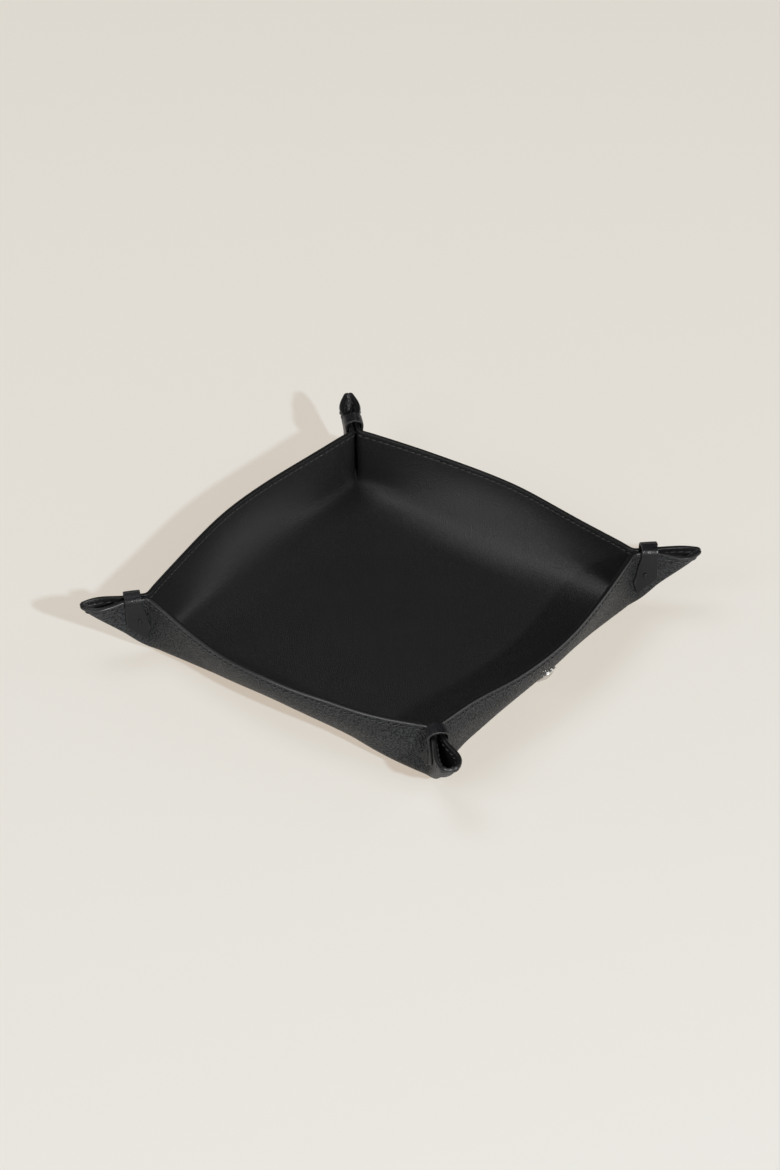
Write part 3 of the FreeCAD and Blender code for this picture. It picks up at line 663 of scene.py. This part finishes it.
# Keeper straps: a smooth strip of strap leather over each ear, 1.2 mm thick, with black painted
# edges. One leg is riveted to the ear, and the other, the pointed tongue, buttons on a stud and
# swings up on its bend.
CORNERS = ["back_right", "back_left", "front_left", "front_right"]
STRAP = 0.0012
STRAP_GAP = 0.0001
ARCH_GAP = np.array([0.0024, 0.0016, 0.0024, 0.0026])
SHOULDER = 0.0030
ARCH_DOME = 0.0004
LEG_EASE = 0.0006
EASE_DEPTH = 0.009
NECK_START = 0.0201
NECK_END = 0.0287
FLARE = 0.0062
FLARE_START = 0.001
FLARE_DEPTH = 0.0168
FLARE_CURVE = 1.25
POINT_ALONG = 0.0305
POINT_DEPTH = 0.0240
OUTER_EDGE_DEPTH = 0.0148
STRAP_EDGE = 0.00030
POINT_WIDTH = 0.0007
PIN_ALONG = 0.0268
STRAP_SHIFT = np.array([0.0, 0.0, 0.0028, 0.0])
PIN_DEPTH = 0.0126
SLOT_HALF_WIDTH = 0.00055
SLOT_HALF_LENGTH = 0.0021
SLOT_SETTLE = 2.2
SLOT_TAPER = (1.25, 0.5)
SLOT_END_SHARE = 0.45
STRAP_FACE = 18
STRAP_ROUND = 3
SLOT_COLUMNS = (8, 10)
FOLD_TAKE_UP = EAR_HALF_GAP * (QUARTER - 1.0)


def ear_axes(corner):
    """Ear frame of a corner: unrounded tip of the glue line, along the rim inwards, across, and up from the
    rim, all turned with the ear."""
    angle = QUARTER * (corner + 0.5)
    out = np.array([math.cos(angle), math.sin(angle), 0.0])
    pivot = out * (TIP_OUT - SWING_REACH)
    out = np.array([math.cos(angle + EAR_SWING[corner]), math.sin(angle + EAR_SWING[corner]), 0.0])
    up = np.array([0.0, 0.0, 1.0])
    inward = math.sin(EAR_SLOPE) * up - math.cos(EAR_SLOPE) * out
    upward = math.cos(EAR_SLOPE) * up + math.sin(EAR_SLOPE) * out
    tip = pivot + out * SWING_REACH + up * (TIP_HEIGHT + LEATHER_OUT)
    return tip, inward, np.cross(upward, inward), upward


def ear_flat(along, depth, corner, leg):
    """Flat place and side of a place on one leg's side of an ear, by distance along and depth below the
    rim."""
    side = (corner if leg > 0 else corner + 1) % 4
    u = SHEET_HALF - depth
    v = leg * (SHEET_HALF - along - FOLD_TAKE_UP)
    return u, v, np.full(np.broadcast(u, v).shape, side)


def strap_edges(depth):
    """Both edges of a leg at a depth below the rim: straight neck, a flare towards the tray that grows by
    a power of the depth, then straight to the point."""
    flare = np.clip((depth - FLARE_START) / (FLARE_DEPTH - FLARE_START), 0.0, 1.0) ** FLARE_CURVE * FLARE
    low = np.clip((depth - FLARE_DEPTH) / (POINT_DEPTH - FLARE_DEPTH), 0.0, 1.0)
    inner = NECK_END + flare + low * (POINT_ALONG + POINT_WIDTH - NECK_END - FLARE)
    slant = np.clip((depth - OUTER_EDGE_DEPTH) / (POINT_DEPTH - OUTER_EDGE_DEPTH), 0.0, 1.0)
    return NECK_START + slant * (POINT_ALONG - POINT_WIDTH - NECK_START), inner


def strap_loop():
    """Section of a strap as a loop of (share across, inset from the edge, height above the leather)."""
    arc = np.linspace(0.0, QUARTER, STRAP_ROUND + 1)
    inset = STRAP_EDGE * (1.0 - np.cos(arc))
    drop = STRAP_EDGE * (1.0 - np.sin(arc))
    flat = np.linspace(0.0, 1.0, STRAP_FACE)[1:-1]
    share = np.concatenate([np.zeros(STRAP_ROUND + 1), flat, np.ones(STRAP_ROUND + 1)])
    inner = np.concatenate([inset, np.zeros(STRAP_FACE - 2), -inset[::-1]])
    shift = np.concatenate(
        [np.zeros(STRAP_ROUND + 1), STRAP_EDGE * (1.0 - 2.0 * flat), np.zeros(STRAP_ROUND + 1)])
    height = np.concatenate([STRAP - drop, np.full(STRAP_FACE - 2, STRAP), STRAP - drop[::-1]])
    back = slice(None, None, -1)
    return (np.concatenate([share, share[back]]), np.concatenate([inner + shift, (inner + shift)[back]]),
            np.concatenate([height, (STRAP - height)[back]]))


def slot_share(share, depth, outer_edge, inner_edge):
    """Shares across a leg, moved near the pin's depth so that two columns lie on the edges of the slot:
    evenly spaced between an edge of the leg and an edge of the slot, and back to even spacing above and
    below it. The slot narrows towards its ends."""
    flat = np.linspace(0.0, 1.0, STRAP_FACE)
    marks = [0.0, flat[SLOT_COLUMNS[0]], flat[SLOT_COLUMNS[1]], 1.0]
    from_pin = np.abs(depth - PIN_DEPTH)
    near = np.clip(SLOT_SETTLE - from_pin / SLOT_HALF_LENGTH, 0.0, 1.0)
    taper = (SLOT_TAPER[0] - from_pin / SLOT_HALF_LENGTH) / SLOT_TAPER[1]
    half = SLOT_HALF_WIDTH * np.clip(taper, SLOT_END_SHARE, 1.0)
    width = inner_edge - outer_edge
    first = (PIN_ALONG - half - outer_edge) / width
    last = (PIN_ALONG + half - outer_edge) / width
    spot = np.where(share <= marks[1], share / marks[1] * first, np.where(
        share <= marks[2], first + (share - marks[1]) / (marks[2] - marks[1]) * (last - first),
        last + (share - marks[2]) / (1.0 - marks[2]) * (1.0 - last)))
    return share + near * (spot - share)


ARCH_ROWS = 8
LEG_ROWS = 47
ABOVE_LEG = -1.0


def half_strap(corner, leg):
    """Half of a strap from the middle of its arch down one leg, as a grid (rows, loop, 3), and its
    depths. The leg lies on the ear's own surface and stands off it a little at the top. The arch is a
    low dome and a round shoulder from the leg's upper end."""
    share, inset, height = strap_loop()
    tip, inward, across, upward = ear_axes(corner)
    depth = np.linspace(SHOULDER - ARCH_GAP[corner] - STRAP / 2, POINT_DEPTH, LEG_ROWS)[:, None]
    outer_edge, inner_edge = strap_edges(depth)
    share = slot_share(share, depth, outer_edge, inner_edge)
    along = STRAP_SHIFT[corner] + outer_edge + share * (inner_edge - outer_edge) + inset
    u, v, side = ear_flat(along, depth, corner, leg)
    ease = LEG_EASE * np.clip(1.0 - depth / EASE_DEPTH, 0.0, 1.0) ** 2
    lift = LEATHER_OUT + STRAP_GAP + height + ease + np.zeros_like(u)
    leg_points = sheet_point(u, v, side, lift)
    top = leg_points[0] - tip
    top_along = top @ inward
    spread = leg * (top @ across)
    middle = spread - height + STRAP / 2
    bend = np.linspace(0.0, QUARTER, ARCH_ROWS + 1)[1:, None]
    radius = SHOULDER + height - STRAP / 2
    low = top @ upward
    bend_out = middle - SHOULDER + radius * np.cos(bend)
    flat_share = np.linspace(1.0, 0.0, ARCH_ROWS + 1)[1:, None]
    dome = ARCH_DOME * np.concatenate([np.zeros_like(bend), 1.0 - flat_share ** 2])
    out = np.concatenate([bend_out, (middle - SHOULDER) * flat_share])
    up = np.concatenate([low + radius * np.sin(bend), (low + radius) * np.ones_like(flat_share)]) + dome
    arch = tip + top_along[:, None] * inward + leg * out[..., None] * across + up[..., None] * upward
    points = np.concatenate([arch[::-1], leg_points])
    depths = np.concatenate([np.full(len(arch), ABOVE_LEG), depth[:, 0]])
    return (points if leg > 0 else points[:, ::-1]), depths


SHARP_TURN = math.radians(50.0)
STRAP_GIRTH = 0.02
STRAP_RUN = 0.03


def strap_mesh(name, points, depths, leg):
    """Strap piece from its grid: quads round the loop and a polygon at each end, painted where the loop turns
    over an edge. In the tongue the quads of the slot are left out on both faces, and walls join the two."""
    rows, columns = points.shape[:2]
    index = np.arange(rows * columns).reshape(rows, columns)
    if leg < 0:
        index = index[:, ::-1]
    across = np.roll(index, -1, axis=1)
    quads = np.stack([index[1:], across[1:], across[:-1], index[:-1]], axis=-1)
    column = np.arange(columns)
    on_edge = (column < STRAP_ROUND) | (np.abs(column - columns / 2 + 0.5) < STRAP_ROUND + 0.6)
    on_edge = on_edge | (column >= columns - STRAP_ROUND - 1)
    painted = np.broadcast_to(on_edge, quads.shape[:2])
    kept = np.ones(quads.shape[:2], dtype=bool)
    walls = np.zeros((0, 4), dtype=int)
    if leg > 0:
        inside = np.flatnonzero(np.abs(depths - PIN_DEPTH) <= SLOT_HALF_LENGTH)
        first, last = inside[0], inside[-1]
        left, right = (STRAP_ROUND + k for k in SLOT_COLUMNS)
        kept[first:last, left:right] = False
        kept[first:last, columns - 1 - right:columns - 1 - left] = False
        ring = np.concatenate([
            [(row, left) for row in range(first, last)], [(last, k) for k in range(left, right)],
            [(row, right) for row in range(last, first, -1)], [(first, k) for k in range(right, left, -1)]])
        front = index[ring[:, 0], ring[:, 1]]
        rear = index[ring[:, 0], columns - 1 - ring[:, 1]]
        walls = np.stack([front, np.roll(front, -1), np.roll(rear, -1), rear], axis=-1)
    faces = np.concatenate([quads[kept], walls])
    paint = np.concatenate([painted[kept], np.ones(len(walls), dtype=bool), [True, True]])
    ends = [index[0].tolist(), index[-1][::-1].tolist()]
    mesh = bpy.data.meshes.new(name)
    mesh.from_pydata(points.reshape(-1, 3).tolist(), [], faces.tolist() + ends)
    mesh.polygons.foreach_set("use_smooth", np.ones(len(mesh.polygons), dtype=bool))
    mesh.polygons.foreach_set("material_index", paint.astype(np.int32))
    mesh.set_sharp_from_angle(angle=SHARP_TURN)
    girth = np.linspace(0.0, STRAP_GIRTH, columns)[None]
    run = np.linspace(0.0, STRAP_RUN, rows)[:, None]
    place = np.stack(np.broadcast_arrays(girth, run, 0.0), axis=-1)
    attribute = mesh.attributes.new("flat_place", "FLOAT_VECTOR", "POINT")
    attribute.data.foreach_set("vector", place.astype(np.float32).ravel())
    return linked(name, mesh)


strap_finish = hide_material(
    "smooth_strap_leather", pore_colour_and_shade=(0.0030, 0.0030, 0.0042), top=(0.0055, 0.0055, 0.0075), roughness=0.33,
    specular=0.32, cell=0.00050, relief=0.00004, mottle=0.9)
for corner, corner_name in enumerate(CORNERS):
    for leg, half_name in ((-1, "strap"), (1, "tongue")):
        grid, depths = half_strap(corner, leg)
        piece = strap_mesh(corner_name + "_" + half_name + "_leather", grid, depths, leg)
        piece.data.materials.append(strap_finish)
        piece.data.materials.append(satin_finish)
        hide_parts(corner_name + "_" + half_name)
        if leg < 0:
            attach(piece, "tray")
            continue
        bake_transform(piece)


# Studs and rivets: small oblong heads of blackened metal, upright in the legs, one on each side of
# an ear. A stud has a round collar and neck under its head, so that the slot of the tongue can
# button over it.
PIN_SIDES = 28
RIVET_RINGS = np.array([
    [0.00060, 0.00060, -0.0012], [0.00060, 0.00060, 0.0000], [0.00086, 0.00160, 0.0000],
    [0.00090, 0.00165, 0.00012], [0.00086, 0.00160, 0.00034], [0.00068, 0.00140, 0.00050],
    [0.00030, 0.00090, 0.00056]])
STUD_RINGS = np.array([
    [0.00160, 0.00160, -0.00152], [0.00160, 0.00160, -0.00146], [0.00070, 0.00070, -0.00140],
    [0.00066, 0.00066, 0.00000], [0.00076, 0.00142, 0.00002], [0.00080, 0.00150, 0.00016],
    [0.00076, 0.00146, 0.00038], [0.00060, 0.00126, 0.00052], [0.00026, 0.00080, 0.00058]])


def pin_heads(rings, leg):
    """One pin per corner: rings of (half width, half height, height over the strap), each an oblong loop."""
    angle = np.linspace(0.0, 2.0 * math.pi, PIN_SIDES, endpoint=False)
    grids = []
    for corner in range(len(CORNERS)):
        upward = ear_axes(corner)[3]
        place = ear_flat(PIN_ALONG + STRAP_SHIFT[[corner]], np.array([PIN_DEPTH]), corner, leg)
        normal = sheet_normal(*place)[0]
        seat = sheet_point(*place, LEATHER_OUT + STRAP_GAP + STRAP)[0]
        side = np.cross(upward, normal)
        stand = np.cross(normal, side)
        half, tall, height = (rings[:, k, None] for k in range(3))
        wide = half * np.cos(angle)
        high = half * np.sin(angle) + (tall - half) * np.sign(np.sin(angle))
        grids.append(seat + wide[..., None] * side + high[..., None] * stand + height[..., None] * normal)
    return np.stack(grids)


black_metal, metal_shader = finish_of("blackened_metal", (0.022, 0.022, 0.023), 0.34, 0.5)
metal_shader.inputs["Metallic"].default_value = 0.7
roughen(black_metal, metal_shader, scale=1400.0, detail=3.0, strength=0.35, distance=0.00004)
for node_name, rings, leg in (("strap_rivets", RIVET_RINGS, -1), ("strap_studs", STUD_RINGS, 1)):
    heads = stitch_mesh(node_name + "_heads", pin_heads(rings, leg))
    heads.data.materials.append(black_metal)
    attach(heads, "tray")
    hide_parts(node_name)


# Backing washers: thin steel rings inside the ears on the ends of the studs and rivets.
# They are stamped and blackened, so they have a dull, slightly scratched finish.
STEEL_COLOUR = (0.035, 0.035, 0.036)


def scratch(material, shader, scale, smoothest, dullest):
    """Fine scratches and handling marks: noise as roughness between two values."""
    dull = add_node(material, "ShaderNodeMapRange", To_Min=smoothest, To_Max=dullest)
    material.node_tree.links.new(noise_on(material, scale, detail=4.0), dull.inputs["Value"])
    material.node_tree.links.new(dull.outputs["Result"], shader.inputs["Roughness"])


steel, steel_shader = finish_of("blackened_steel", STEEL_COLOUR, 0.5, 0.4)
steel_shader.inputs["Metallic"].default_value = 0.6
scratch(steel, steel_shader, scale=900.0, smoothest=0.40, dullest=0.65)
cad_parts["backing_washers"].data.materials.clear()
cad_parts["backing_washers"].data.materials.append(steel)


# Badge: a plain domed metal disc with a raised rim on the front wall, held by a stem through the
# outer leather. It is nickel plated, bright and a little scratched.
nickel, nickel_shader = finish_of("bright_nickel", (0.66, 0.64, 0.61), 0.22, 0.5)
nickel_shader.inputs["Metallic"].default_value = 1.0
scratch(nickel, nickel_shader, scale=1500.0, smoothest=0.14, dullest=0.34)
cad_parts["badge"].data.materials.clear()
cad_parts["badge"].data.materials.append(nickel)


# Studio: a pale warm paper floor that keeps a light shadow, a room that is bright near the horizon
# and darker behind the tray, a small key light from the front, soft lights above, at the left and
# at the right, and a long lens.
FLOOR_HALF = 6.0
FLOOR_DROP = 0.0002
FLOOR_PAPER = (0.70, 0.86, 0.95)
FLOOR_GLOW = (0.862, 0.717, 0.570, 1.0)
FLOOR_GLOW_SHARE = 0.60
floor_mesh = bpy.data.meshes.new("studio_floor")
floor_corners = [
    (x * FLOOR_HALF, y * FLOOR_HALF, -FLOOR_DROP) for x, y in ((-1, -1), (1, -1), (1, 1), (-1, 1))]
floor_mesh.from_pydata(floor_corners, [], [(0, 1, 2, 3)])
floor = linked("studio_floor", floor_mesh)
floor_finish, floor_shader = finish_of("pale_paper", FLOOR_PAPER, 0.9, 0.0)
floor_link = floor_finish.node_tree.links.new
floor_glow = add_node(floor_finish, "ShaderNodeEmission", Color=FLOOR_GLOW, Strength=1.0)
floor_rays = add_node(floor_finish, "ShaderNodeLightPath")
seen_glossy = add_node(floor_finish, "ShaderNodeMath", operation="MAXIMUM")
seen_through = add_node(floor_finish, "ShaderNodeMath", operation="MAXIMUM")
glow_share = add_node(floor_finish, "ShaderNodeMath", operation="MULTIPLY")
glow_share.inputs[1].default_value = FLOOR_GLOW_SHARE
floor_mix = add_node(floor_finish, "ShaderNodeMixShader")
floor_link(floor_rays.outputs["Is Camera Ray"], seen_glossy.inputs[0])
floor_link(floor_rays.outputs["Is Glossy Ray"], seen_glossy.inputs[1])
floor_link(seen_glossy.outputs["Value"], seen_through.inputs[0])
floor_link(floor_rays.outputs["Is Transmission Ray"], seen_through.inputs[1])
floor_link(seen_through.outputs["Value"], glow_share.inputs[0])
floor_link(glow_share.outputs["Value"], floor_mix.inputs[0])
floor_link(floor_shader.outputs["BSDF"], floor_mix.inputs[1])
floor_link(floor_glow.outputs["Emission"], floor_mix.inputs[2])
floor_link(floor_mix.outputs["Shader"], floor_finish.node_tree.nodes["Material Output"].inputs["Surface"])
floor_finish.cycles.emission_sampling = "NONE"
floor.data.materials.append(floor_finish)

ROOM_TINT = (1.0, 0.99, 0.975, 1.0)
ROOM_HORIZON = 1.7
ROOM_ABOVE = 0.05
ROOM_TURN = 0.42
ROOM_DARK_SIDE = (0.8, 0.6, 0.0)
ROOM_DARK_START = 0.1
ROOM_DARK_END = 0.8
ROOM_DARK_LEVEL = 0.25
world = bpy.data.worlds.new("studio")
world.use_nodes = True
room = world.node_tree.nodes["Background"]
room.inputs["Color"].default_value = ROOM_TINT
room_link = world.node_tree.links.new
room_place = add_node(world, "ShaderNodeTexCoord")
room_axes = add_node(world, "ShaderNodeSeparateXYZ")
room_level = add_node(world, "ShaderNodeMapRange", interpolation_type="SMOOTHSTEP", From_Min=0.0,
                      From_Max=ROOM_TURN, To_Min=ROOM_HORIZON, To_Max=ROOM_ABOVE)
room_link(room_place.outputs["Generated"], room_axes.inputs["Vector"])
room_link(room_axes.outputs["Z"], room_level.inputs["Value"])
room_side = add_node(world, "ShaderNodeVectorMath", operation="DOT_PRODUCT")
room_side.inputs[1].default_value = ROOM_DARK_SIDE
room_shade = add_node(world, "ShaderNodeMapRange", interpolation_type="SMOOTHSTEP", From_Min=ROOM_DARK_START,
                      From_Max=ROOM_DARK_END, To_Min=1.0, To_Max=ROOM_DARK_LEVEL)
room_strength = add_node(world, "ShaderNodeMath", operation="MULTIPLY")
room_link(room_place.outputs["Generated"], room_side.inputs[0])
room_link(room_side.outputs["Value"], room_shade.inputs["Value"])
room_link(room_level.outputs["Result"], room_strength.inputs[0])
room_link(room_shade.outputs["Result"], room_strength.inputs[1])
room_link(room_strength.outputs["Value"], room.inputs["Strength"])
bpy.context.scene.world = world

LIGHT_DISTANCE = 3.0


def soft_light(name, towards, size, power):
    """Square area light at a distance in a direction, turned to the tray."""
    lamp = bpy.data.lights.new(name, "AREA")
    lamp.size = size
    lamp.energy = power
    light = linked(name, lamp)
    light.location = Vector(towards).normalized() * LIGHT_DISTANCE
    light.rotation_mode = "QUATERNION"
    light.rotation_quaternion = Vector(towards).to_track_quat("Z", "Y")


soft_light("key_light", (-0.341, -0.756, 0.558), 0.12, 68.0)
soft_light("top_light", (-0.03, 0.37, 0.93), 1.7, 25.0)
soft_light("left_light", (-0.76, 0.22, 0.61), 1.3, 20.0)
soft_light("right_light", (0.60, -0.62, 0.50), 1.3, 8.0)

AZIMUTH = math.radians(-53.55)
ELEVATION = math.radians(37.58)
CAMERA_DISTANCE = 3.055
LENS = 183.1
SENSOR = 36.0
AIM = Vector((0.01044, 0.00879, 0.01761))
level = math.cos(ELEVATION)
back = Vector((math.sin(AZIMUTH) * level, -math.cos(AZIMUTH) * level, math.sin(ELEVATION)))
camera = linked("camera", bpy.data.cameras.new("camera"))
camera.data.sensor_width = SENSOR
camera.data.lens = LENS
camera.location = AIM + back * CAMERA_DISTANCE
camera.rotation_mode = "QUATERNION"
camera.rotation_quaternion = back.to_track_quat("Z", "Y")
bpy.context.scene.camera = camera
bpy.context.scene.view_settings.view_transform = "Standard"
